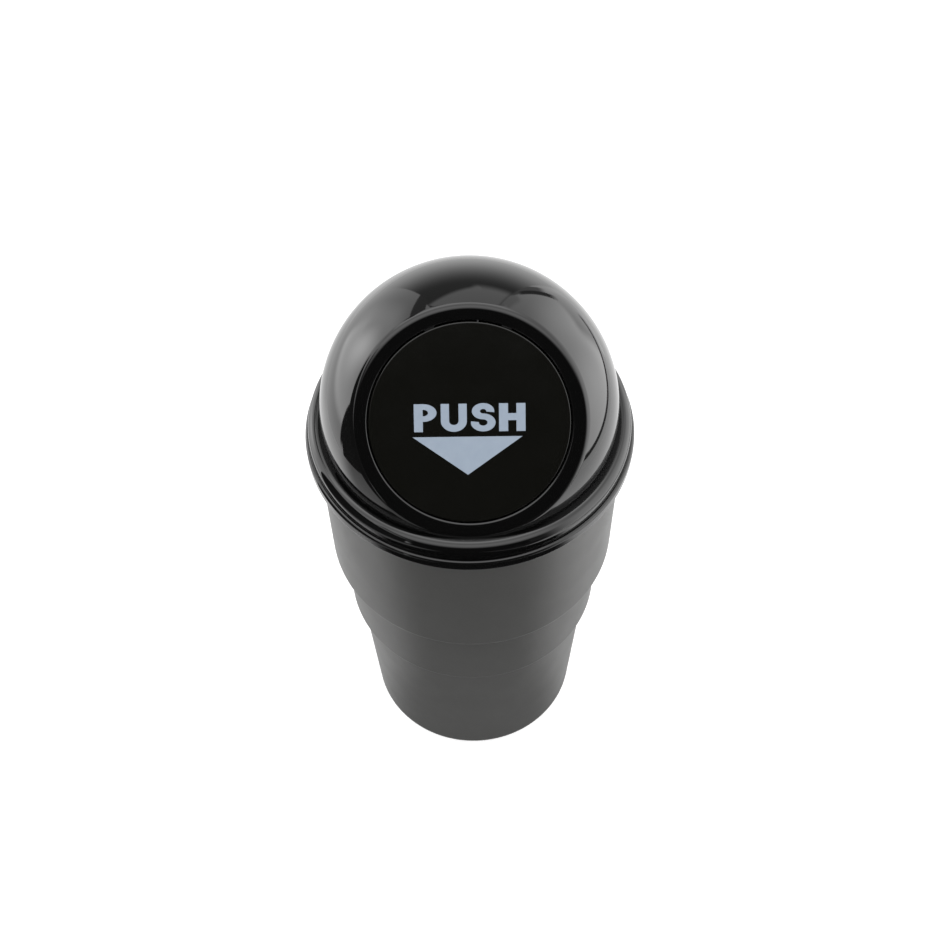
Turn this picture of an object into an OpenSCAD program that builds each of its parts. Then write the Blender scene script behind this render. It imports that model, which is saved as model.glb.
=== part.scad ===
// Car trash bin for a cup holder: a stepped cup, a ring that traps the bag, and a
// lift-off dome lid with a sprung push flap in its slanting face.
// Frame: Z up, origin at the middle of the foot, flap facing -Y, millimetres.

/* [Cup] */
// Diameter of the cup at its foot
base_d = 63.6; // [58:0.2:70]
// Height of the lowest section, the one that sits in a cup holder
low_h = 53; // [40:0.5:65]
// How much the radius grows up the lowest section
low_flare = 3.3; // [1:0.1:4]
// Width of the step out to the middle section
low_step = 2.2; // [1.8:0.1:4]
// Height of the middle section
mid_h = 26.7; // [18:0.1:36]
// How much the radius grows up the middle section
mid_flare = 0.3; // [0.1:0.1:1.5]
// Width of the step out to the upper section
upper_step = 3.6; // [2.4:0.1:5]
// Height of the upper section, up to the rim
upper_h = 48.7; // [40:0.1:65]
// How much the radius grows up the upper section
upper_flare = 0.9; // [0.4:0.1:2]
// Wall thickness of the cup
cup_wall = 1.6; // [1.2:0.1:2.2]
// Edge radius under the middle section
low_edge = 2.1; // [0.5:0.1:2.4]
// Edge radius under the upper section
upper_edge = 2.4; // [0.5:0.1:3]
// Edge radius round the foot
foot_edge = 1.4; // [0.5:0.1:2.5]
// Width of the ring that the cup stands on
foot_w = 3.4; // [2.6:0.1:6]
// Depth of the recess inside the foot ring
foot_h = 1.4; // [0.5:0.1:3]
// Thickness of the cup's floor
floor_t = 1.8; // [1.2:0.1:3]

/* [Bag ring] */
// How far the lip stands out past the cup's rim
lip_out = 2.9; // [2.2:0.1:5]
// Height of the lip
lip_h = 3.3; // [2.6:0.1:5]
// Thickness of the web that rests on the cup's rim
web_t = 1.6; // [1:0.1:2.4]
// Edge radius of the lip
lip_edge = 0.5; // [0.2:0.1:0.8]
// Depth of the skirt inside the cup, below the rim
skirt_h = 11.2; // [8:0.1:18]
// Wall thickness of the skirt
skirt_t = 1.4; // [1:0.1:2]
// Play between the skirt and the cup
ring_play = 0.25; // [0.2:0.05:0.6]

/* [Lid] */
// How far the collar stands in from the lip
lip_ledge = 1.0; // [0.5:0.1:2]
// Height of the collar
collar_h = 4.7; // [3:0.1:6]
// Radius of the bead that tops the collar
collar_edge = 2.5; // [1:0.1:2.8]
// How far the bead rolls over towards the dome, in degrees
bead_turn = 20; // [5:1:25]
// Depth of the groove under the collar
groove_h = 1.3; // [0.6:0.1:1.8]
// Wall thickness of the collar round its groove
collar_wall = 1.8; // [1.2:0.1:2.4]
// Width of the collar outside the dome
collar_ledge = 3.7; // [3:0.1:5]
// Height of the dome's centre above the collar
dome_rise = 3.4; // [1:0.1:8]
// Wall thickness of the dome
dome_wall = 2; // [1.4:0.1:2.4]
// Depth of the slice that makes the slanting face
face_cut = 13.3; // [11:0.1:15]
// Tilt of the face from level
face_tilt = 47.2; // [42:0.1:49]
// Radius of the edge between the face and the dome
face_edge = 2.4; // [1:0.1:3]
// Width of the rim between the mouth and that edge
face_rim = 3.9; // [3.2:0.1:5]
// Radius of the mouth's front edge
mouth_edge = 0.6; // [0.2:0.1:0.9]
// Depth of the spigot inside the ring
spigot_h = 8; // [6:0.1:10]
// Wall thickness of the spigot
spigot_t = 1.4; // [1:0.1:2]
// Play between the spigot and the ring
lid_play = 0.2; // [0.15:0.05:0.5]

/* [Flap] */
// Gap between the flap and the mouth
flap_gap = 0.35; // [0.3:0.05:0.8]
// Thickness of the flap
flap_t = 2; // [1.4:0.1:2]
// Radius of the flap's front edge
flap_edge = 0.35; // [0.2:0.05:0.6]
// How far the stop reaches past the mouth, behind the face
stop_over = 2; // [1:0.1:2.4]
// Thickness of the stop
stop_t = 1.4; // [1:0.1:2]
// How far round the stop runs, in degrees
stop_arc = 236; // [180:1:240]
// Height of the ribs on the flap's back
rib_h = 1.5; // [0.8:0.1:2]
// Thickness of the ribs
rib_t = 1.2; // [0.8:0.1:1.6]

/* [Hinge] */
// Diameter of the hinge pin
pin_d = 2; // [1.6:0.1:2.4]
// Wall round the pin in the knuckles and lugs
knuckle_wall = 1.2; // [1:0.1:1.6]
// Distance of the pin from the top of the mouth
hinge_inset = 4.5; // [4:0.1:6]
// Width of each knuckle on the flap
knuckle_w = 3.2; // [2.4:0.1:4]
// Width of each lug on the lid
lug_w = 2.5; // [2:0.1:3.5]
// Width of the space for the spring between the knuckles
spring_space = 10; // [7:0.5:12]
// How far the pin stands out of each lug
pin_out = 0.4; // [0:0.1:1]
// Diameter of the spring's wire
wire_d = 0.6; // [0.5:0.05:0.7]
// Turns of the spring
coil_turns = 6; // [4:1:8]
// Spacing of the turns
coil_pitch = 0.8; // [0.75:0.05:0.9]
// Length of the leg on the flap
flap_leg = 12; // [8:0.5:16]
// How far the other leg reaches past the mouth
lid_leg = 2.3; // [1.5:0.1:2.5]

/* [Hidden] */
$fn = 96;

// Running play of the pin in the knuckles, and its tighter play in the lugs
pin_play = 0.05;
lug_play = 0.02;
// Gaps where one piece rests on the next
seat_gap = 0.1;
lid_gap = 0.2;
// Gap between the stop and the back of the face
stop_gap = 0.3;
// Gap beside each knuckle, and between a turning part and what it passes
side_gap = 0.3;
turn_gap = 0.5;
// Gap between the spring and what it rests on
leg_gap = 0.15;
coil_play = 0.3;
// Small chamfer on hidden edges
chamfer = 0.4;
// Overrun of cutting shapes
over = 1;
// Segments of a small rounded edge and of the bead, rings in a turn of the coil, and
// sides of its wire
arc_n = 7;
bead_n = 10;
turn_n = 12;
wire_n = 8;

// Cup radii and heights, from the foot up
base_r = base_d / 2;
low_r = base_r + low_flare;
mid_r = low_r + low_step;
mid_top_r = mid_r + mid_flare;
upper_r = mid_top_r + upper_step;
rim_r = upper_r + upper_flare;
mid_z = low_h;
upper_z = mid_z + mid_h;
rim_z = upper_z + upper_h;
floor_z = foot_h + floor_t;
foot_in_r = base_r - foot_w;

// Ring radii and heights
web_z = rim_z + seat_gap;
lip_top = web_z + web_t;
lip_z = lip_top - lip_h;
lip_r = rim_r + lip_out;
channel_r = rim_r + ring_play + chamfer;
skirt_z = rim_z - skirt_h;
skirt_r = upper_radius(skirt_z) - cup_wall - ring_play;
bore_r = skirt_r - skirt_t;

// Lid radii and heights
collar_z = lip_top + lid_gap;
collar_top = collar_z + collar_h;
collar_r = lip_r - lip_ledge;
groove_top = collar_z + groove_h;
spigot_z = collar_z - spigot_h;
spigot_r = bore_r - lid_play;
spigot_in = spigot_r - spigot_t;
dome_r = collar_r - collar_ledge;
dome_in = dome_r - dome_wall;
dome_z = collar_top + dome_rise;
hollow_z = collar_top - dome_wall;

// The slanting face, measured from the dome's centre
face_w = dome_r - face_cut;
face_back = face_w - flap_t;
cut_r = sqrt(dome_r * dome_r - face_w * face_w);
mouth_r = cut_r - face_rim;
flap_r = mouth_r - flap_gap;

// The hinge, up the slope of the face and behind it
pin_r = pin_d / 2;
knuckle_r = pin_r + knuckle_wall;
hinge_up = mouth_r - hinge_inset;
hinge_w = face_back - knuckle_r - turn_gap;
knuckle_x = spring_space / 2;
lug_x = knuckle_x + knuckle_w + side_gap;
pin_len = 2 * (lug_x + lug_w + pin_out);
coil_r = pin_r + coil_play + wire_d / 2;
leg_w = knuckle_r + turn_gap - leg_gap - wire_d / 2;
lid_leg_up = hinge_inset + lid_leg;

// Outside radius of the cup's upper section at a height
function upper_radius(z) =
    upper_r + upper_flare * (z - upper_z - upper_edge) / (upper_h - upper_edge);

// Points of an arc round c, from angle a0 to a1
function arc(c, r, a0, a1, n = arc_n) =
    [for (i = [0:n]) let (a = a0 + (a1 - a0) * i / n) c + r * [cos(a), sin(a)]];

// Places things on the slanting face: X across, Y up the slope, Z out of the dome
module on_face() {
    translate([0, 0, dome_z]) rotate([face_tilt, 0, 0]) children();
}

// Turns a child's profile so that it runs along the hinge's axis, w wide from x
module along_hinge(x, w) {
    translate([x, hinge_up, hinge_w]) rotate([90, 0, 90]) linear_extrude(w) children();
}

// One stepped, tapered shell, open at the top, standing on a foot ring
module bin_cup() {
    outside = concat(
        [[0, foot_h], [foot_in_r - chamfer, foot_h], [foot_in_r, 0]],
        arc([base_r - foot_edge, foot_edge], foot_edge, 270, 360),
        [[low_r, mid_z]],
        arc([mid_r - low_edge, mid_z + low_edge], low_edge, 270, 360),
        [[mid_top_r, upper_z]],
        arc([upper_r - upper_edge, upper_z + upper_edge], upper_edge, 270, 360),
        [[rim_r, rim_z - chamfer], [rim_r - chamfer, rim_z]]);
    inside = concat(
        [[rim_r - cup_wall, rim_z], [upper_r - cup_wall, upper_z + max(upper_edge, cup_wall)]],
        [[upper_r - max(upper_edge, cup_wall), upper_z + cup_wall]],
        [[mid_top_r - cup_wall, upper_z + cup_wall]],
        [[mid_r - cup_wall, mid_z + max(low_edge, cup_wall)]],
        [[mid_r - max(low_edge, cup_wall), mid_z + cup_wall]],
        [[low_r - cup_wall, mid_z + cup_wall]],
        arc([base_r - cup_wall - foot_edge, floor_z + foot_edge], foot_edge, 360, 270),
        [[0, floor_z]]);
    color([0.27, 0.27, 0.26]) rotate_extrude() polygon(concat(outside, inside));
}

// Ring with a channel that rides on the cup's rim and a skirt that holds the bag
module bag_ring() {
    profile = concat(
        [[bore_r, skirt_z], [skirt_r - chamfer, skirt_z], [skirt_r, skirt_z + chamfer]],
        [[skirt_r, web_z], [channel_r, web_z], [channel_r, lip_z]],
        arc([lip_r - lip_edge, lip_z + lip_edge], lip_edge, 270, 360),
        arc([lip_r - lip_edge, lip_top - lip_edge], lip_edge, 0, 90),
        [[bore_r + chamfer, lip_top], [bore_r, lip_top - chamfer]]);
    color([0.05, 0.05, 0.05]) rotate_extrude() polygon(profile);
}

// Collar topped by a bead, with a groove under it, and the spigot that drops into the ring
module lid_base() {
    bead = arc([collar_r - collar_edge, collar_top - collar_edge], collar_edge, 0, 90 + bead_turn,
        bead_n);
    sunk_r = dome_r - dome_wall / 2;
    sunk_z = bead[bead_n][1] - (bead[bead_n][0] - sunk_r) * tan(bead_turn);
    profile = concat(
        [[spigot_in, spigot_z], [spigot_r - chamfer, spigot_z], [spigot_r, spigot_z + chamfer]],
        [[spigot_r, groove_top], [collar_r - collar_wall, groove_top]],
        [[collar_r - collar_wall, collar_z], [collar_r, collar_z]],
        bead, [[sunk_r, sunk_z], [spigot_in, sunk_z]]);
    rotate_extrude() polygon(profile);
}

// Ball of radius r, sliced off level at height top, with a rounded edge e
module sliced_ball(r, top, e) {
    edge_x = sqrt(pow(r - e, 2) - pow(top - e, 2));
    edge_a = atan2(top - e, edge_x);
    leave = [cos(edge_a - 90), sin(edge_a - 90)] * r / 2;
    rim = arc([edge_x, top - e], e, edge_a, 90);
    intersection() {
        sphere(r);
        rotate_extrude() polygon(concat([[0, -r - over], [r + over, -r - over]],
            [[r + over, 0], rim[0] + leave], rim, [[0, top]]));
    }
}

// Cutter for the mouth, flared where it rounds off the mouth's front edge
module mouth_cutter() {
    flare = arc([mouth_r + mouth_edge, face_w - mouth_edge], mouth_edge, 180, 90);
    rotate_extrude() polygon(concat([[0, face_back - over], [mouth_r, face_back - over]], flare,
        [[mouth_r + mouth_edge, face_w + over], [0, face_w + over]]));
}

// Lug for the pin, reaching back from its boss to the face and the dome's wall
module lug(x) {
    boss_r = knuckle_r + turn_gap - stop_gap;
    root = mouth_r + side_gap - hinge_up;
    back = face_back - hinge_w + dome_wall / 2;
    difference() {
        intersection() {
            along_hinge(x, lug_w) union() {
                circle(boss_r);
                translate([0, -boss_r]) square([dome_r, 2 * boss_r]);
                translate([root, -boss_r]) square([dome_r, back + boss_r]);
            }
            sphere(dome_r - dome_wall / 2);
        }
        along_hinge(x - over, lug_w + 2 * over) circle(pin_r + lug_play);
    }
}

// One-piece dome: shell, flat face with the mouth, collar, spigot and two lugs
module dome_lid() {
    color([0.05, 0.05, 0.05]) union() {
        difference() {
            union() {
                lid_base();
                intersection() {
                    on_face() sliced_ball(dome_r, face_w, face_edge);
                    translate([0, 0, hollow_z]) cylinder(h = 2 * dome_r, r = 2 * dome_r);
                }
            }
            intersection() {
                on_face() intersection() {
                    sphere(dome_in);
                    translate([0, 0, face_back - 2 * dome_r]) cylinder(h = 2 * dome_r, r = 2 * dome_r);
                }
                translate([0, 0, hollow_z]) cylinder(h = 2 * dome_r, r = 2 * dome_r);
            }
            translate([0, 0, spigot_z - over]) cylinder(h = hollow_z - spigot_z + 2 * over, r = spigot_in);
            on_face() mouth_cutter();
        }
        on_face() for (x = [lug_x, -lug_x - lug_w]) lug(x);
    }
}

// Knuckle under the flap, its block joined to the flap's back
module knuckle(x) {
    difference() {
        along_hinge(x, knuckle_w) union() {
            circle(knuckle_r);
            translate([-knuckle_r, 0]) square([2 * knuckle_r, face_back - hinge_w + chamfer]);
        }
        along_hinge(x - over, knuckle_w + 2 * over) circle(pin_r + pin_play);
    }
}

// Disc with a rounded front edge, a stop behind the face, ribs and two knuckles
module flap() {
    neck_r = flap_r - flap_edge;
    rib_x = knuckle_x + knuckle_w / 2;
    rib_low = sqrt(pow(neck_r - stop_t / 2, 2) - pow(rib_x + rib_t / 2, 2));
    disc = concat([[0, face_back], [flap_r, face_back]],
        arc([flap_r - flap_edge, face_w - flap_edge], flap_edge, 0, 90), [[0, face_w]]);
    stop = [[neck_r - stop_t, face_back + chamfer], [neck_r - stop_t, face_back - stop_gap - stop_t],
        [mouth_r + stop_over, face_back - stop_gap - stop_t], [mouth_r + stop_over, face_back - stop_gap],
        [neck_r, face_back - stop_gap], [neck_r, face_back + chamfer]];
    color([0.06, 0.06, 0.055]) on_face() union() {
        rotate_extrude() polygon(disc);
        rotate([0, 0, 270 - stop_arc / 2]) rotate_extrude(angle = stop_arc) polygon(stop);
        for (x = [knuckle_x, -knuckle_x - knuckle_w]) knuckle(x);
        for (x = [-rib_x, rib_x])
            translate([x - rib_t / 2, -rib_low, face_back - rib_h])
                cube([rib_t, rib_low + hinge_up - knuckle_r, rib_h + chamfer]);
        translate([-neck_r + stop_t / 2, -rib_t / 2, face_back - rib_h])
            cube([2 * neck_r - stop_t, rib_t, rib_h + chamfer]);
    }
}

// Steel pin, pressed through the lugs
module hinge_pin() {
    color([0.75, 0.76, 0.78]) on_face() along_hinge(-pin_len / 2, pin_len) circle(pin_r);
}

// Route of the spring's wire round the pin: lid leg, coil, flap leg
coil_half = coil_turns * coil_pitch / 2;
coil_steps = coil_turns * turn_n;
lid_leg_end = [coil_half, lid_leg_up, leg_w];
flap_leg_end = [-coil_half, -flap_leg, leg_w];
coil = [for (i = [0:coil_steps]) let (a = 90 + 360 * i / turn_n)
    [coil_half - coil_pitch * i / turn_n, coil_r * cos(a), coil_r * sin(a)]];
wire = concat([lid_leg_end], coil, [flap_leg_end]);

function unit(v) = v / norm(v);

// Ring of points round the wire at its point k, square to its run there
function wire_ring(k) =
    let (last = len(wire) - 1,
         run = unit(wire[min(k + 1, last)] - wire[max(k - 1, 0)]),
         side = unit(cross(run, [1, 0, 0])),
         lift = cross(side, run))
    [for (i = [0:wire_n - 1]) let (a = 360 * i / wire_n)
        wire[k] + wire_d / 2 * (cos(a) * side + sin(a) * lift)];

// Torsion spring that shuts the flap, its wire swept along the route
module torsion_spring() {
    rings = len(wire);
    sides = [for (k = [0:rings - 2]) for (i = [0:wire_n - 1]) let (j = (i + 1) % wire_n)
        [k * wire_n + i, (k + 1) * wire_n + i, (k + 1) * wire_n + j, k * wire_n + j]];
    ends = [[for (i = [0:wire_n - 1]) i],
        [for (i = [0:wire_n - 1]) rings * wire_n - 1 - i]];
    color([0.7, 0.71, 0.72]) on_face() translate([0, hinge_up, hinge_w])
        polyhedron([for (k = [0:rings - 1]) each wire_ring(k)], concat(sides, ends), convexity = 8);
}

bin_cup();
bag_ring();
dome_lid();
flap();
hinge_pin();
torsion_spring();
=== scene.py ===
import bmesh
import bpy
import math
from mathutils import Euler, Matrix, Vector


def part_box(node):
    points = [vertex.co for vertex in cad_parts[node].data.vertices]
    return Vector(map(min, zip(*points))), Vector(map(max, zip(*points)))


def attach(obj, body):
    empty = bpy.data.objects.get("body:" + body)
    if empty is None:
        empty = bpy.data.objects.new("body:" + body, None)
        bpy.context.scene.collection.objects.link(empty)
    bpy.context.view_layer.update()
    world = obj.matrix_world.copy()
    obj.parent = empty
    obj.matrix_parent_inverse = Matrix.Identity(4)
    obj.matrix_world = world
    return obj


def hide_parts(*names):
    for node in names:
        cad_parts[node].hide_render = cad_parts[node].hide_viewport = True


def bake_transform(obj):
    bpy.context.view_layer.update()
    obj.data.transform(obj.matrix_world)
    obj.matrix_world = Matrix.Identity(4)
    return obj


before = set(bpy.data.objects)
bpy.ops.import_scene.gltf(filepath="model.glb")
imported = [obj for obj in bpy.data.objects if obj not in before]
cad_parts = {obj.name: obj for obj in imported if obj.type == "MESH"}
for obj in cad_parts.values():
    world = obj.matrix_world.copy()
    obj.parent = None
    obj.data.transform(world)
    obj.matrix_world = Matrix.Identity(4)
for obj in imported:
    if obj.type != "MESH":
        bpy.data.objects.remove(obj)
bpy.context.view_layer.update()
bpy.ops.object.select_all(action="DESELECT")

# Camera
# It stands half a metre up and a quarter of a metre in front of the bin, and looks down
# at the push flap through a lens a little longer than a normal one.
mm = 0.001
camera_place = Vector((-0.15, -265.3, 478)) * mm
camera_pitch = math.radians(54.48)
camera_yaw = math.radians(0.3)
camera_roll = math.radians(-0.81)
bpy.ops.object.camera_add(location=camera_place)
camera = bpy.context.object
camera.matrix_world = (Matrix.Translation(camera_place)
                       @ Matrix.Rotation(-camera_yaw, 4, "Z")
                       @ Matrix.Rotation(math.pi / 2 - camera_pitch, 4, "X")
                       @ Matrix.Rotation(camera_roll, 4, "Z"))
camera.data.lens = 60.6
camera.data.sensor_width = 36
bpy.context.scene.camera = camera

# Studio
# A white floor under plain soft light, in a small light tent: two bright side walls, a
# pale back, a soft ceiling and a dark room on the camera's side, which the gloss shows.
scene = bpy.context.scene
scene.view_settings.view_transform = "Standard"
fill_level = 0.55
floor_size, floor_white, floor_roughness = 6, 0.8, 0.9
floor_lift, floor_gloss_lift = 0.56, 0.3


def background_rays(nodes, links):
    """Is 1 for the rays that show the background: camera, glossy and transmission rays."""
    light_path = nodes.new("ShaderNodeLightPath")
    total = light_path.outputs["Is Camera Ray"]
    for ray in ("Is Glossy Ray", "Is Transmission Ray"):
        either = nodes.new("ShaderNodeMath")
        either.operation = "MAXIMUM"
        links.new(total, either.inputs[0])
        links.new(light_path.outputs[ray], either.inputs[1])
        total = either.outputs[0]
    return total


world = bpy.data.worlds.new("studio_air")
world.use_nodes = True
scene.world = world
nodes, links = world.node_tree.nodes, world.node_tree.links
level = nodes.new("ShaderNodeMapRange")
level.inputs["To Min"].default_value = fill_level
links.new(background_rays(nodes, links), level.inputs["Value"])
links.new(level.outputs["Result"], nodes["Background"].inputs["Strength"])
nodes["Background"].inputs["Color"].default_value = (1, 1, 1, 1)

bpy.ops.mesh.primitive_plane_add(size=floor_size, location=(0, 0, 0))
floor = bpy.context.object
floor.name = "floor"
floor_paint = bpy.data.materials.new("floor_white")
floor_paint.use_nodes = True
nodes, links = floor_paint.node_tree.nodes, floor_paint.node_tree.links
shader = nodes["Principled BSDF"]
shader.inputs["Base Color"].default_value = (floor_white, floor_white, floor_white, 1)
shader.inputs["Roughness"].default_value = floor_roughness
shader.inputs["Specular IOR Level"].default_value = 0
shader.inputs["Emission Color"].default_value = (1, 1, 1, 1)
seen_rays = nodes.new("ShaderNodeLightPath")
seen_lift = nodes.new("ShaderNodeMapRange")
seen_lift.inputs["To Min"].default_value = floor_gloss_lift
seen_lift.inputs["To Max"].default_value = floor_lift
links.new(seen_rays.outputs["Is Camera Ray"], seen_lift.inputs["Value"])
lift = nodes.new("ShaderNodeMath")
lift.operation = "MULTIPLY"
links.new(background_rays(nodes, links), lift.inputs[0])
links.new(seen_lift.outputs["Result"], lift.inputs[1])
links.new(lift.outputs[0], shader.inputs["Emission Strength"])
floor.data.materials.append(floor_paint)


lamp_aim = Vector((0, 0, 0.1))


def add_lamp(name, place, size, power):
    """A soft square lamp aimed at the cup's upper half, which doesn't show in the gloss."""
    aim = lamp_aim - Vector(place)
    bpy.ops.object.light_add(type="AREA", location=place)
    lamp = bpy.context.object
    lamp.name = name
    lamp.rotation_euler = aim.to_track_quat("-Z", "Y").to_euler()
    lamp.data.size = size
    lamp.data.energy = power
    lamp.visible_glossy = False
    lamp.visible_camera = False


add_lamp("ceiling_lamp", (0, 0.1, 1.4), size=1.6, power=9.5)
add_lamp("left_lamp", (-0.9, 0.25, 0.45), size=0.7, power=3.8)
add_lamp("right_lamp", (0.9, 0.25, 0.45), size=0.7, power=3.8)
add_lamp("front_lamp", (0, -0.95, 0.45), size=0.7, power=3.5)


def fade_edges(material, shader, margins):
    """Makes a card clear towards its edges, over these shares of its width and height.
    A card is one unit wide and high in its own coordinates, with its middle at 0."""
    nodes, links = material.node_tree.nodes, material.node_tree.links
    place = nodes.new("ShaderNodeTexCoord")
    split = nodes.new("ShaderNodeSeparateXYZ")
    links.new(place.outputs["Object"], split.inputs["Vector"])
    cover = None
    for axis, margin in zip("XY", margins):
        if margin:
            off_middle = nodes.new("ShaderNodeMath")
            off_middle.operation = "ABSOLUTE"
            ease = nodes.new("ShaderNodeMapRange")
            ease.interpolation_type = "SMOOTHSTEP"
            ease.inputs["From Min"].default_value = 0.5
            ease.inputs["From Max"].default_value = 0.5 - margin
            links.new(split.outputs[axis], off_middle.inputs[0])
            links.new(off_middle.outputs[0], ease.inputs["Value"])
            if cover:
                both = nodes.new("ShaderNodeMath")
                both.operation = "MULTIPLY"
                links.new(cover, both.inputs[0])
                links.new(ease.outputs["Result"], both.inputs[1])
                cover = both.outputs[0]
            else:
                cover = ease.outputs["Result"]
    if cover:
        links.new(cover, shader.inputs["Alpha"])


def add_card(name, x, y, z, glow, fade=(0, 0, 0), lean=0):
    """A flat card that only the gloss sees, white wall or black flag: two of x, y and z are
    its lowest and highest place, and the third is where it hangs. Its edges fade over these
    lengths along X, Y and Z, and it leans by some degrees in its own plane."""
    spans = [place if isinstance(place, tuple) else (place, place) for place in (x, y, z)]
    low, high = (Vector(corner) for corner in zip(*spans))
    across = high - low
    thin = min(range(3), key=lambda axis: abs(across[axis]))
    sides = [(2, 1), (0, 2), (0, 1)][thin]
    turn = Euler([(0, math.pi / 2, 0), (math.pi / 2, 0, 0), (0, 0, 0)][thin]).to_matrix()
    lean_turn = Matrix.Rotation(math.radians(lean), 3, "XYZ"[thin])
    bpy.ops.mesh.primitive_plane_add(size=1, location=(low + high) / 2,
                                     rotation=(lean_turn @ turn).to_euler())
    card = bpy.context.object
    card.name = name
    card.scale = (*(across[side] for side in sides), 1)
    paint = bpy.data.materials.new(name)
    paint.use_nodes = True
    shader = paint.node_tree.nodes["Principled BSDF"]
    shader.inputs["Base Color"].default_value = (0, 0, 0, 1)
    shader.inputs["Specular IOR Level"].default_value = 0
    shader.inputs["Emission Color"].default_value = (1, 1, 1, 1)
    shader.inputs["Emission Strength"].default_value = glow
    fade_edges(paint, shader, [fade[side] / across[side] for side in sides])
    paint.cycles.emission_sampling = "NONE"
    card.data.materials.append(paint)
    card.visible_camera = card.visible_diffuse = card.visible_shadow = False


# The tent's walls. A card that covers another hangs a little nearer the bin.
wall_x, back_y, tent_z = 0.22, 0.47, 0.385
add_card("left_wall", x=-wall_x, y=(0.007, back_y), z=(0.001, tent_z), glow=1.2)
add_card("left_glow", x=-0.2195, y=(-0.35, 0.36), z=(0.04, 0.4), glow=2.05,
         fade=(0, 0.18, 0.12))
add_card("left_glow_low", x=-0.2192, y=(-0.35, 0.25), z=(0.06, 0.19), glow=2.3,
         fade=(0, 0.06, 0.035))
add_card("hot_spot", x=-0.219, y=(0.03, 0.2), z=(0.108, 0.278), glow=4,
         fade=(0, 0.085, 0.085))
add_card("left_shade", x=-wall_x, y=(0.15, back_y), z=(tent_z, 0.5), glow=0.22)
add_card("left_flag", x=-0.218, y=(-0.3, 0.005), z=(0.001, 0.3), glow=0.03)
add_card("left_flag_edge", x=-0.2175, y=(-0.03, 0.015), z=(0.012, 0.3), glow=0.03,
         fade=(0, 0, 0.03))
add_card("right_wall", x=wall_x, y=(-0.26, 0.72), z=(-0.4, 0.8), glow=1.4,
         fade=(0, 0.2, 0.4))
add_card("right_glow", x=0.2195, y=(-0.28, 0.36), z=(-0.1, 0.42), glow=2.45,
         fade=(0, 0.22, 0.2))
add_card("right_hot", x=0.2192, y=(-0.05, 0.13), z=(0.06, 0.23), glow=3,
         fade=(0, 0.08, 0.08))
add_card("right_back_low", x=0.2191, y=(0.15, 0.42), z=(0, 0.16), glow=1.25,
         fade=(0, 0.06, 0.04))
add_card("right_top_dim", x=0.2193, y=(0.33, 0.6), z=(0.35, 0.56), glow=1,
         fade=(0, 0.06, 0.05))
add_card("right_low", x=0.219, y=(-0.1, 0.2), z=(0.001, 0.04), glow=1.3)
add_card("right_seam", x=0.2185, y=(-0.17, 0.3), z=(0.03, 0.046), glow=0.08,
         fade=(0, 0.03, 0.002), lean=4.5)
add_card("right_shade", x=0.219, y=(0.4, 0.5), z=(0.12, 0.45), glow=0.42,
         fade=(0, 0.01, 0.06), lean=-24)
add_card("right_corner", x=0.2185, y=(0.362, 0.418), z=(0.1, 0.37), glow=0.12,
         fade=(0, 0.012, 0.05), lean=-24)
add_card("back_dark", x=(-0.25, 0.25), y=0.475, z=(0, 0.75), glow=0.2)
add_card("back_low", x=(-0.4, 0.4), y=0.474, z=(-0.49, 0.38), glow=1.17,
         fade=(0, 0, 0.3))
add_card("back_high_right", x=(0.01, 0.235), y=0.473, z=(0.37, 1), glow=1.08,
         fade=(0.04, 0, 0.09))
add_card("back_high_left", x=(-0.1535, 0.1845), y=0.472, z=(0.44, 0.96), glow=1.08,
         fade=(0, 0, 0.05), lean=27.5)

# The soft ceiling, and the floor as the gloss shows it near the bin's foot, where a dim card
# paints the floor's shadow in front of the foot.
add_card("ceiling_back", x=(-1.2, 1.2), y=(0.8, 1.4), z=1, glow=1.3)
add_card("ceiling", x=(-1.2, 1.2), y=(-1.1, 2.85), z=1.01, glow=1.8, fade=(0, 0.75, 0))
add_card("ceiling_bright", x=(-1.2, 1.2), y=(0.16, 0.5), z=1.005, glow=2.7,
         fade=(0, 0.12, 0))
add_card("ceiling_dim", x=(-1.2, 1.2), y=(-0.17, 0.1), z=1.004, glow=1.35,
         fade=(0, 0.1, 0))
# Painted shadow: a dim card in front of the foot, seen only in the gloss, stands in for the shade
# on the floor there.
add_card("painted_foot_shadow", x=(-0.058, 0.058), y=(-0.105, -0.005), z=0.0015, glow=0.3,
         fade=(0.03, 0.025, 0))
add_card("dim_floor_left", x=(-0.24, -0.03), y=(0.09, 0.31), z=0.002, glow=1.08,
         fade=(0.04, 0.06, 0))
add_card("dark_floor_left", x=(-0.8, -0.1), y=(-0.4, 0.03), z=0.002, glow=0.5,
         fade=(0.03, 0.06, 0))

# The dark room that the camera stands in.
room_y = -1.4
add_card("dark_sky", x=(-1.3, 1.3), y=(-1.7, -0.3), z=1.05, glow=0)
add_card("dark_room_floor", x=(-0.8, 0.12), y=(room_y, -0.03), z=0.001, glow=0,
         fade=(0.02, 0.05, 0))
add_card("dark_floor_right", x=(0.1, 1.2), y=(room_y, -0.18), z=0.002, glow=0.05,
         fade=(0.03, 0.06, 0))
add_card("dark_room_front", x=(-1.2, 1.2), y=room_y, z=(0, 1.06), glow=0)
add_card("dark_room_left", x=-0.6, y=(room_y, -0.3), z=(0, 0.95), glow=0)
add_card("dark_room_right", x=0.9, y=(room_y, -0.3), z=(0, 0.95), glow=0.1)

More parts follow.
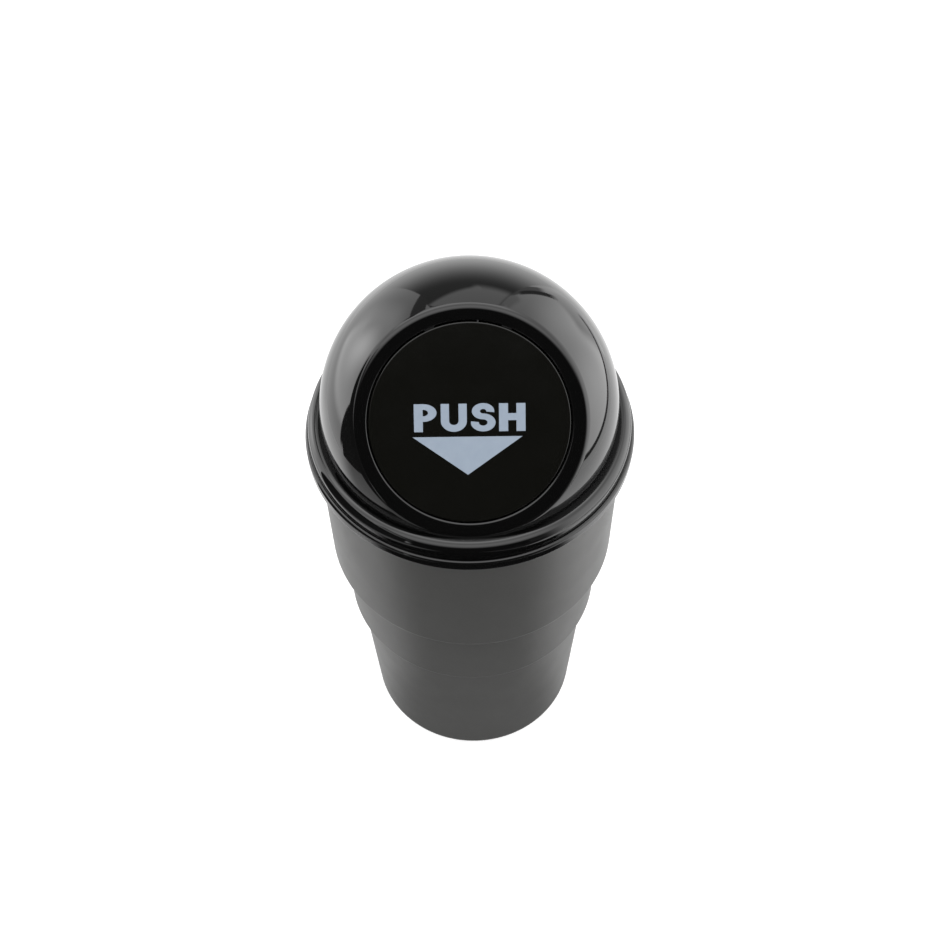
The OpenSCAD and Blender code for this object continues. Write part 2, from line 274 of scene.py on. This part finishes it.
# Cup
# The cup is one injection-moulded polypropylene shell, three tapering sections with a
# rounded step between each, on a foot ring, with a fine matte grain from the mould.
around = 192
cup_wall, chamfer = 1.6 * mm, 0.4 * mm
foot_z, floor_z, low_z, upper_z = 1.4 * mm, 3.2 * mm, 53 * mm, 79.7 * mm
rim_z, rim_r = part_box("bin_cup")[1].z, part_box("bin_cup")[1].x
foot_in_r, base_r, low_r = 28.4 * mm, 31.8 * mm, 35.1 * mm
mid_r, mid_top_r, upper_r = 37.3 * mm, 37.6 * mm, 41.2 * mm
low_edge, upper_edge, foot_edge = 2.1 * mm, 2.4 * mm, 1.4 * mm
merge_gap = 0.001 * mm
smooth_below = math.radians(35)
plastic_ior = 1.5
noise_low, noise_high = 0.3, 0.7


def arc(centre, radius, start, stop, steps=8):
    """Places along an arc of a section, between two angles in degrees."""
    angles = [math.radians(start + (stop - start) * step / steps) for step in range(steps + 1)]
    return [(centre[0] + radius * math.cos(angle), centre[1] + radius * math.sin(angle))
            for angle in angles]


def close_shell():
    """Merges doubles, points the faces outwards and leaves edit mode."""
    bpy.ops.mesh.select_all(action="SELECT")
    bpy.ops.mesh.remove_doubles(threshold=merge_gap)
    bpy.ops.mesh.normals_make_consistent(inside=False)
    bpy.ops.object.mode_set(mode="OBJECT")


def turn_section(name, places, start=0, sweep=360, steps=around):
    """Draws a closed section through (radius, height) places and spins it round Z."""
    bpy.ops.object.select_all(action="DESELECT")
    bpy.ops.mesh.primitive_plane_add(size=mm, location=(places[0][0], 0, places[0][1]))
    bpy.ops.object.transform_apply(location=True, rotation=True, scale=True)
    piece = bpy.context.object
    piece.name = piece.data.name = name
    bpy.ops.object.mode_set(mode="EDIT")
    bpy.ops.mesh.select_mode(type="VERT")
    bpy.ops.mesh.select_all(action="SELECT")
    bpy.ops.mesh.merge(type="CENTER")
    for (radius, height), (new_radius, new_height) in zip(places, places[1:] + places[:1]):
        bpy.ops.mesh.extrude_vertices_move()
        bpy.ops.transform.translate(value=(new_radius - radius, 0, new_height - height))
    bpy.ops.mesh.select_all(action="SELECT")
    bpy.ops.mesh.remove_doubles(threshold=merge_gap)
    if sweep < 360:
        bpy.ops.mesh.edge_face_add()
        bpy.ops.transform.rotate(value=-math.radians(start), orient_axis="Z",
                                 center_override=(0, 0, 0))
    bpy.ops.mesh.spin(steps=steps, angle=-math.radians(sweep), center=(0, 0, 0), axis=(0, 0, 1))
    close_shell()
    return piece


def polish(piece, material):
    """Smooths the rounded edges, weighs the normals by face, and gives the finish."""
    bpy.ops.object.select_all(action="DESELECT")
    piece.select_set(True)
    bpy.context.view_layer.objects.active = piece
    bpy.ops.object.shade_smooth_by_angle(angle=smooth_below)
    weigh = piece.modifiers.new("weigh", "WEIGHTED_NORMAL")
    weigh.keep_sharp = True
    bpy.ops.object.modifier_apply(modifier=weigh.name)
    piece.data.materials.clear()
    piece.data.materials.append(material)


def new_material(name, colour, roughness, ior=plastic_ior):
    """A material on the shader's own values, ready for its pattern."""
    material = bpy.data.materials.new(name)
    material.use_nodes = True
    shader = material.node_tree.nodes["Principled BSDF"]
    shader.inputs["Base Color"].default_value = (*colour, 1)
    shader.inputs["Roughness"].default_value = roughness
    shader.inputs["IOR"].default_value = ior
    return material, shader


def add_noise(material, size, detail, stretch=(1, 1, 1)):
    """Noise with features of about this size over the piece's own coordinates."""
    nodes, links = material.node_tree.nodes, material.node_tree.links
    place = nodes.new("ShaderNodeTexCoord")
    mapping = nodes.new("ShaderNodeMapping")
    noise = nodes.new("ShaderNodeTexNoise")
    mapping.inputs["Scale"].default_value = stretch
    noise.inputs["Scale"].default_value = 1 / size
    noise.inputs["Detail"].default_value = detail
    links.new(place.outputs["Object"], mapping.inputs["Vector"])
    links.new(mapping.outputs["Vector"], noise.inputs["Vector"])
    return noise.outputs[0]


def vary(material, shader, socket, value, low, high):
    """Lets a noise, which mostly stays between its two ends, carry a shader's value
    between low and high."""
    nodes, links = material.node_tree.nodes, material.node_tree.links
    if socket == "Base Color":
        ramp = nodes.new("ShaderNodeValToRGB")
        ramp.color_ramp.elements[0].position = noise_low
        ramp.color_ramp.elements[0].color = (*low, 1)
        ramp.color_ramp.elements[1].position = noise_high
        ramp.color_ramp.elements[1].color = (*high, 1)
        links.new(value, ramp.inputs["Fac"])
        links.new(ramp.outputs["Color"], shader.inputs[socket])
    else:
        span = nodes.new("ShaderNodeMapRange")
        span.inputs["From Min"].default_value = noise_low
        span.inputs["From Max"].default_value = noise_high
        span.inputs["To Min"].default_value = low
        span.inputs["To Max"].default_value = high
        links.new(value, span.inputs["Value"])
        links.new(span.outputs["Result"], shader.inputs[socket])


def emboss(material, shader, value, depth, strength):
    """Lets a pattern raise the surface by about this depth."""
    nodes, links = material.node_tree.nodes, material.node_tree.links
    bump = nodes.new("ShaderNodeBump")
    bump.inputs["Distance"].default_value = depth
    bump.inputs["Strength"].default_value = strength
    links.new(value, bump.inputs["Height"])
    links.new(bump.outputs["Normal"], shader.inputs["Normal"])


cup = turn_section("cup_shell", [
    (0, foot_z), (foot_in_r - chamfer, foot_z), (foot_in_r, 0),
    *arc((base_r - foot_edge, foot_edge), foot_edge, 270, 360),
    (low_r, low_z), *arc((mid_r - low_edge, low_z + low_edge), low_edge, 270, 360, 12),
    (mid_top_r, upper_z),
    *arc((upper_r - upper_edge, upper_z + upper_edge), upper_edge, 270, 360, 12),
    (rim_r, rim_z - chamfer), (rim_r - chamfer, rim_z), (rim_r - cup_wall, rim_z),
    (upper_r - cup_wall, upper_z + upper_edge), (upper_r - upper_edge, upper_z + cup_wall),
    (mid_top_r - cup_wall, upper_z + cup_wall),
    (mid_r - cup_wall, low_z + low_edge), (mid_r - low_edge, low_z + cup_wall),
    (low_r - cup_wall, low_z + cup_wall),
    *arc((base_r - cup_wall - foot_edge, floor_z + foot_edge), foot_edge, 360, 270),
    (0, floor_z)])

cup_plastic, shader = new_material("cup_plastic", (0.056, 0.056, 0.054), 0.4)
vary(cup_plastic, shader, "Base Color", add_noise(cup_plastic, 14 * mm, 3),
     (0.0545, 0.0545, 0.0525), (0.0575, 0.0575, 0.0555))
vary(cup_plastic, shader, "Roughness", add_noise(cup_plastic, 9 * mm, 3), 0.39, 0.43)
emboss(cup_plastic, shader, add_noise(cup_plastic, 0.3 * mm, 2), 0.02 * mm, 0.5)
polish(cup, cup_plastic)
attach(cup, "cup")
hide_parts("bin_cup")

# Bag ring
# A thin glossy ring, moulded in black plastic: its channel rides on the cup's rim, its
# skirt pins the bag inside, and its lip stands out furthest, under the lid.
ring_low, ring_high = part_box("bag_ring")
skirt_z, lip_top, lip_r = ring_low.z, ring_high.z, ring_high.x
lip_z, web_z = lip_top - 3.3 * mm, lip_top - 1.6 * mm
channel_r, skirt_r, bore_r = rim_r + 0.65 * mm, 40.036 * mm, 38.636 * mm
lip_edge, lip_top_edge = 0.5 * mm, 0.85 * mm
gloss_ior = 1.6

bag_ring = turn_section("bag_ring_gloss", [
    (bore_r, skirt_z), (skirt_r - chamfer, skirt_z), (skirt_r, skirt_z + chamfer),
    (skirt_r, web_z), (channel_r, web_z), (channel_r, lip_z),
    *arc((lip_r - lip_edge, lip_z + lip_edge), lip_edge, 270, 360),
    *arc((lip_r - lip_top_edge, lip_top - lip_top_edge), lip_top_edge, 0, 90),
    (bore_r + chamfer, lip_top), (bore_r, lip_top - chamfer)])

ring_gloss, shader = new_material("ring_gloss", (0.004, 0.004, 0.004), 0.06, gloss_ior)
vary(ring_gloss, shader, "Roughness", add_noise(ring_gloss, 12 * mm, 4), 0.05, 0.1)
emboss(ring_gloss, shader, add_noise(ring_gloss, 25 * mm, 1), 0.02 * mm, 0.2)
polish(bag_ring, ring_gloss)
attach(bag_ring, "ring")
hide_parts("bag_ring")

# Dome lid
# One glossy black moulding: a ball-shaped dome with a flat slanting face and its round
# mouth, a collar over the ring, a spigot inside it, and two lugs that hold the pin.
dome_r, shell_t = 40.3 * mm, 2 * mm
tilt = math.radians(47.2)
dome_z = 138.4 * mm
face_w = 27 * mm
back_w = face_w - shell_t
face_edge, mouth_edge, face_border = 2.4 * mm, 0.6 * mm, 3.9 * mm
mouth_r = math.sqrt(dome_r ** 2 - face_w ** 2) - face_border
collar_z, groove_top = lip_top + 0.2 * mm, lip_top + 1.5 * mm
hollow_z, collar_top = lip_top + 2.9 * mm, lip_top + 4.9 * mm
collar_r, collar_wall = lip_r - 1 * mm, 1.8 * mm
bead_r, bead_turn = 2.5 * mm, 20
small_edge = 0.15 * mm
overlap = 0.3 * mm
spigot_z, spigot_r, spigot_in_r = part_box("dome_lid")[0].z, 38.436 * mm, 37.036 * mm
hinge_up, hinge_w = mouth_r - 4.5 * mm, 22.3 * mm
pin_r, knuckle_r = 1 * mm, 2.2 * mm
lug_x, lug_w, boss_r = 8.5 * mm, 2.5 * mm, 2.4 * mm


def fuse(piece, tool, operation="UNION"):
    """Joins a tool shape to the piece, or cuts with it, and deletes the tool."""
    bpy.ops.object.select_all(action="DESELECT")
    bpy.context.view_layer.objects.active = piece
    join = piece.modifiers.new("fuse", "BOOLEAN")
    join.operation = operation
    join.solver = "EXACT"
    join.object = tool
    bpy.ops.object.modifier_apply(modifier=join.name)
    bpy.data.objects.remove(tool)


def add_block(low, high):
    """A block between two corners."""
    low, high = Vector(low), Vector(high)
    bpy.ops.mesh.primitive_cube_add(size=1, location=(low + high) / 2)
    block = bpy.context.object
    block.scale = high - low
    bpy.ops.object.transform_apply(location=True, rotation=True, scale=True)
    return block


def settle(piece, place, turn):
    """Turns a piece that was modelled at the origin, carries it to its place and applies both."""
    bpy.ops.object.select_all(action="DESELECT")
    piece.select_set(True)
    bpy.context.view_layer.objects.active = piece
    piece.rotation_euler = turn
    piece.location = place
    bpy.ops.object.transform_apply(location=True, rotation=True, scale=True)


def tilt_into_place(piece):
    """Carries what was modelled flat, up the slope and out of the face, to the face."""
    settle(piece, (0, 0, dome_z), (tilt, 0, 0))


def add_rod(radius, x, width):
    """A rod along the hinge's axis, from x on."""
    bpy.ops.mesh.primitive_cylinder_add(vertices=64, radius=radius, depth=width,
                                        location=(x + width / 2, hinge_up, hinge_w),
                                        rotation=(0, math.pi / 2, 0))
    bpy.ops.object.transform_apply(location=True, rotation=True, scale=True)
    return bpy.context.object


edge_x = math.sqrt((dome_r - face_edge) ** 2 - (face_w - face_edge) ** 2)
edge_turn = math.degrees(math.atan2(face_w - face_edge, edge_x))
back_turn = math.degrees(math.asin(back_w / (dome_r - shell_t)))
dome_low = -62
dome = turn_section("dome_shell", [
    (mouth_r, back_w),
    *arc((mouth_r + mouth_edge, face_w - mouth_edge), mouth_edge, 180, 90),
    *arc((edge_x, face_w - face_edge), face_edge, 90, edge_turn, 12),
    *arc((0, 0), dome_r, edge_turn, dome_low, 72)[1:],
    *arc((0, 0), dome_r - shell_t, dome_low, back_turn, 48)])
tilt_into_place(dome)
bpy.ops.object.mode_set(mode="EDIT")
bpy.ops.mesh.select_all(action="SELECT")
bpy.ops.mesh.bisect(plane_co=(0, 0, hollow_z - overlap), plane_no=(0, 0, 1),
                    clear_inner=True, use_fill=True)
close_shell()

bead = arc((collar_r - bead_r, collar_top - bead_r), bead_r, 0, 90 + bead_turn, 16)
sunk_r = dome_r - shell_t / 2
sunk_z = bead[-1][1] - (bead[-1][0] - sunk_r) * math.tan(math.radians(bead_turn))
fuse(dome, turn_section("collar", [
    (spigot_in_r, spigot_z), (spigot_r - chamfer, spigot_z), (spigot_r, spigot_z + chamfer),
    (spigot_r, groove_top), (collar_r - collar_wall, groove_top),
    (collar_r - collar_wall, collar_z), (collar_r - small_edge, collar_z),
    (collar_r, collar_z + small_edge), *bead, (sunk_r, sunk_z), (sunk_r, hollow_z),
    (spigot_in_r, hollow_z)]))

for x in (lug_x, -lug_x - lug_w):
    lug = add_rod(boss_r, x, lug_w)
    fuse(lug, add_block((x, hinge_up, hinge_w - boss_r),
                        (x + lug_w, dome_r, hinge_w + boss_r)))
    fuse(lug, add_block((x, mouth_r + overlap, hinge_w - boss_r),
                        (x + lug_w, dome_r, face_w - shell_t / 2)))
    bpy.ops.mesh.primitive_uv_sphere_add(segments=96, ring_count=48, radius=sunk_r)
    fuse(lug, bpy.context.object, "INTERSECT")
    fuse(lug, add_rod(pin_r, x - overlap, lug_w + 2 * overlap), "DIFFERENCE")
    tilt_into_place(lug)
    fuse(dome, lug)

dome_gloss, shader = new_material("dome_gloss", (0.003, 0.003, 0.003), 0.04, gloss_ior)
vary(dome_gloss, shader, "Roughness", add_noise(dome_gloss, 14 * mm, 4), 0.03, 0.07)
emboss(dome_gloss, shader, add_noise(dome_gloss, 30 * mm, 1), 0.03 * mm, 0.2)
polish(dome, dome_gloss)
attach(dome, "lid")
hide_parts("dome_lid")

# Push flap
# A round satin plate in the mouth, one moulding with a stop behind the face, stiffening
# ribs on its back and two knuckles that turn on the pin.
flap_r, flap_edge = mouth_r - 0.35 * mm, 0.35 * mm
neck_r = flap_r - flap_edge
stop_t, stop_gap, stop_over, stop_arc = 1.4 * mm, 0.3 * mm, 2 * mm, 236
rib_h, rib_t, sunk = 1.5 * mm, 1.2 * mm, 0.4 * mm
knuckle_x, knuckle_w = 5 * mm, 3.2 * mm
stop_w = back_w - stop_gap

flap = turn_section("flap_plate", [
    (0, back_w), (flap_r, back_w),
    *arc((flap_r - flap_edge, face_w - flap_edge), flap_edge, 0, 90, 6), (0, face_w)])
fuse(flap, turn_section("stop", [
    (neck_r - stop_t, back_w + sunk), (neck_r - stop_t, stop_w - stop_t),
    (mouth_r + stop_over, stop_w - stop_t), (mouth_r + stop_over, stop_w), (neck_r, stop_w),
    (neck_r, back_w + sunk)], start=270 - stop_arc / 2, sweep=stop_arc, steps=around // 2))

rib_x = knuckle_x + knuckle_w / 2
rib_low = math.sqrt((neck_r - stop_t / 2) ** 2 - (rib_x + rib_t / 2) ** 2)
for x in (-rib_x, rib_x):
    fuse(flap, add_block((x - rib_t / 2, -rib_low, back_w - rib_h),
                         (x + rib_t / 2, hinge_up - knuckle_r + sunk, back_w + sunk)))
fuse(flap, add_block((stop_t / 2 - neck_r, -rib_t / 2, back_w - rib_h),
                     (neck_r - stop_t / 2, rib_t / 2, back_w + sunk)))
for x in (knuckle_x, -knuckle_x - knuckle_w):
    knuckle = add_rod(knuckle_r, x, knuckle_w)
    fuse(knuckle, add_block((x, hinge_up - knuckle_r, hinge_w),
                            (x + knuckle_w, hinge_up + knuckle_r, back_w + sunk)))
    fuse(knuckle, add_rod(pin_r, x - overlap, knuckle_w + 2 * overlap), "DIFFERENCE")
    fuse(flap, knuckle)
tilt_into_place(flap)

flap_satin, shader = new_material("flap_satin", (0.0042, 0.0042, 0.0034), 0.15)
vary(flap_satin, shader, "Roughness", add_noise(flap_satin, 8 * mm, 4), 0.13, 0.18)
emboss(flap_satin, shader, add_noise(flap_satin, 0.25 * mm, 2), 0.01 * mm, 0.3)
polish(flap, flap_satin)
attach(flap, "push_flap")
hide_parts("flap")

# Print on the flap
# The word that says how to open it, and an arrow under it, pad-printed in pale blue-grey
# ink that stands a few hundredths of a millimetre proud of the plate.
ink_low, ink_high = face_w - 0.02 * mm, face_w + 0.03 * mm
ink_w, ink_t = (ink_low + ink_high) / 2, ink_high - ink_low
word_left, word_base = -14.1 * mm, -2.2 * mm
cap_height = 7.16 * mm
print_turn = math.radians(-0.3)


def add_bar(x, y, width, height):
    """A straight stroke of a letter, from its low left corner."""
    return add_block((word_left + x, word_base + y, ink_low),
                     (word_left + x + width, word_base + y + height, ink_high))


def add_bend(outer, stroke_w, start, bends, stretch):
    """A round stroke: a bar's end, first at an angle in degrees, is spun round the middle of
    each bend in turn, anticlockwise for a positive sweep, and then stretched sideways."""
    first = Vector((word_left + bends[0][0], word_base + bends[0][1], ink_w))
    bpy.ops.mesh.primitive_plane_add(size=1, rotation=(math.pi / 2, 0, 0),
                                     location=first + Vector((outer - stroke_w / 2, 0, 0)))
    stroke = bpy.context.object
    stroke.scale = (stroke_w, ink_t, 1)
    bpy.ops.object.transform_apply(location=True, rotation=True, scale=True)
    bpy.ops.object.mode_set(mode="EDIT")
    bpy.ops.mesh.select_mode(type="FACE")
    bpy.ops.mesh.select_all(action="SELECT")
    bpy.ops.transform.rotate(value=-math.radians(start), orient_axis="Z",
                             center_override=first)
    for x, y, sweep in bends:
        centre = Vector((word_left + x, word_base + y, first.z))
        bpy.ops.mesh.spin(steps=32, angle=-math.radians(sweep), center=centre, axis=(0, 0, 1))
    bpy.ops.mesh.select_all(action="SELECT")
    bpy.ops.transform.resize(value=(stretch, 1, 1), center_override=first)
    close_shell()
    return stroke


def set_letter(*strokes):
    """Fuses a letter's strokes into one flat shape."""
    for stroke in strokes[1:]:
        fuse(strokes[0], stroke)
    return strokes[0]


post, bowl_x = 2.24 * mm, 2.35 * mm
bowl_r, bowl_w, bowl_wide = 2.26 * mm, 1.43 * mm, 1.5
bowl_y = cap_height - bowl_r
letter_p = set_letter(
    add_bar(0, 0, post, cap_height),
    add_bar(post / 2, bowl_y + bowl_r - bowl_w, bowl_x - post / 2, bowl_w),
    add_bar(post / 2, bowl_y - bowl_r, bowl_x - post / 2, bowl_w),
    add_bend(bowl_r, bowl_w, -90, [(bowl_x, bowl_y, 180)], bowl_wide))
trough_x = 10.09 * mm
trough_r, trough_w, trough_wide = 2.75 * mm, 1.75 * mm, 1.196
side_x, side_w = trough_x - trough_r * trough_wide, trough_w * trough_wide
letter_u = set_letter(
    add_bar(side_x, trough_r, side_w, cap_height - trough_r),
    add_bar(2 * trough_x - side_x - side_w, trough_r, side_w, cap_height - trough_r),
    add_bend(trough_r, trough_w, -180, [(trough_x, trough_r, 180)], trough_wide))
snake_x, snake_w, snake_sweep, snake_wide = 17.5 * mm, 1.5 * mm, 278, 1.36
top_r, bottom_r = 2.08 * mm, 2.3 * mm
letter_s = add_bend(top_r, snake_w, 270 - snake_sweep,
                    [(snake_x, bottom_r * 2 + top_r - snake_w, snake_sweep),
                     (snake_x, bottom_r, -snake_sweep)], snake_wide)
ladder_x, ladder_w, ladder_post = 21.5 * mm, 6.7 * mm, 2.3 * mm
rung_y, rung_h = 2.8 * mm, 1.8 * mm
letter_h = set_letter(
    add_bar(ladder_x, 0, ladder_post, cap_height),
    add_bar(ladder_x + ladder_w - ladder_post, 0, ladder_post, cap_height),
    add_bar(ladder_x + ladder_post / 2, rung_y, ladder_w - ladder_post, rung_h))

arrow_x, arrow_top = 13.5 * mm, -1.3 * mm
arrow_w, arrow_h = 27.9 * mm, 9.85 * mm
bpy.ops.mesh.primitive_cylinder_add(
    vertices=3, radius=1, depth=ink_t, rotation=(0, 0, math.pi),
    location=(word_left + arrow_x, word_base + arrow_top - arrow_h / 3, ink_w))
print_mark = bpy.context.object
print_mark.scale = (arrow_w / math.sqrt(3), arrow_h / 1.5, 1)
bpy.ops.object.transform_apply(location=True, rotation=True, scale=True)
for letter in (letter_p, letter_u, letter_s, letter_h):
    letter.select_set(True)
print_mark.select_set(True)
bpy.context.view_layer.objects.active = print_mark
bpy.ops.object.join()
print_mark.name = print_mark.data.name = "print_mark"
settle(print_mark, (0, 0, 0), (0, 0, print_turn))
tilt_into_place(print_mark)

print_ink, shader = new_material("print_ink", (0.28, 0.335, 0.41), 0.5)
vary(print_ink, shader, "Base Color", add_noise(print_ink, 2.5 * mm, 4),
     (0.27, 0.325, 0.4), (0.29, 0.345, 0.42))
vary(print_ink, shader, "Roughness", add_noise(print_ink, 1 * mm, 3), 0.45, 0.6)
emboss(print_ink, shader, add_noise(print_ink, 0.2 * mm, 2), 0.01 * mm, 0.4)
polish(print_mark, print_ink)
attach(print_mark, "push_flap")

# Hinge pin
# A drawn steel pin with eased ends, pressed through the lid's two lugs.
pin_len, pin_edge = 22.8 * mm, 0.2 * mm
pin = turn_section("steel_pin", [
    (0, -pin_len / 2), (pin_r - pin_edge, -pin_len / 2), (pin_r, pin_edge - pin_len / 2),
    (pin_r, pin_len / 2 - pin_edge), (pin_r - pin_edge, pin_len / 2), (0, pin_len / 2)],
    steps=48)
settle(pin, (0, hinge_up, hinge_w), (0, math.pi / 2, 0))
tilt_into_place(pin)

pin_steel, shader = new_material("pin_steel", (0.6, 0.6, 0.62), 0.25)
shader.inputs["Metallic"].default_value = 1
vary(pin_steel, shader, "Roughness", add_noise(pin_steel, 0.4 * mm, 3, (0.05, 1, 1)), 0.18, 0.36)
polish(pin, pin_steel)
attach(pin, "lid")
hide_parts("hinge_pin")

# Flap spring
# Six turns of spring wire round the pin. One leg bears behind the lid's face and the
# other on the flap's back, and the coil winds up when the flap is pushed.
coil_r, wire_r = 1.6 * mm, 0.3 * mm
turns, coil_pitch = 6, 0.8 * mm
leg_rise = 0.65 * mm
lid_leg, flap_leg = 6.8 * mm, 12 * mm
coil_half = turns * coil_pitch / 2
bpy.ops.object.select_all(action="DESELECT")
bpy.ops.mesh.primitive_circle_add(vertices=12, radius=wire_r, rotation=(math.pi / 2, 0, 0),
                                  location=(coil_half, 0, coil_r))
bpy.ops.object.transform_apply(location=True, rotation=True, scale=True)
spring = bpy.context.object
spring.name = spring.data.name = "coil_spring"
winding = spring.modifiers.new("winding", "SCREW")
winding.axis = "X"
winding.iterations = turns
winding.steps = winding.render_steps = 24
winding.screw_offset = -coil_pitch
bpy.ops.object.modifier_apply(modifier=winding.name)
bpy.ops.object.mode_set(mode="EDIT")
bpy.ops.mesh.select_mode(type="EDGE")
for end_x, leg in ((coil_half, lid_leg), (-coil_half, -flap_leg)):
    bpy.ops.mesh.select_all(action="DESELECT")
    mesh = bmesh.from_edit_mesh(spring.data)
    for edge in mesh.edges:
        middle_x = (edge.verts[0].co.x + edge.verts[1].co.x) / 2
        if edge.is_boundary and abs(middle_x - end_x) < 2 * wire_r:
            edge.select_set(True)
    bmesh.update_edit_mesh(spring.data)
    bpy.ops.mesh.extrude_edges_move()
    bpy.ops.transform.translate(value=(0, leg, leg_rise))
    bpy.ops.mesh.edge_face_add()
bpy.ops.mesh.select_all(action="SELECT")
bpy.ops.transform.translate(value=(0, hinge_up, hinge_w))
close_shell()
tilt_into_place(spring)

spring_steel, shader = new_material("spring_steel", (0.55, 0.55, 0.57), 0.3)
shader.inputs["Metallic"].default_value = 1
vary(spring_steel, shader, "Roughness", add_noise(spring_steel, 0.5 * mm, 3), 0.22, 0.4)
polish(spring, spring_steel)
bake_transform(spring)
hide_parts("torsion_spring")
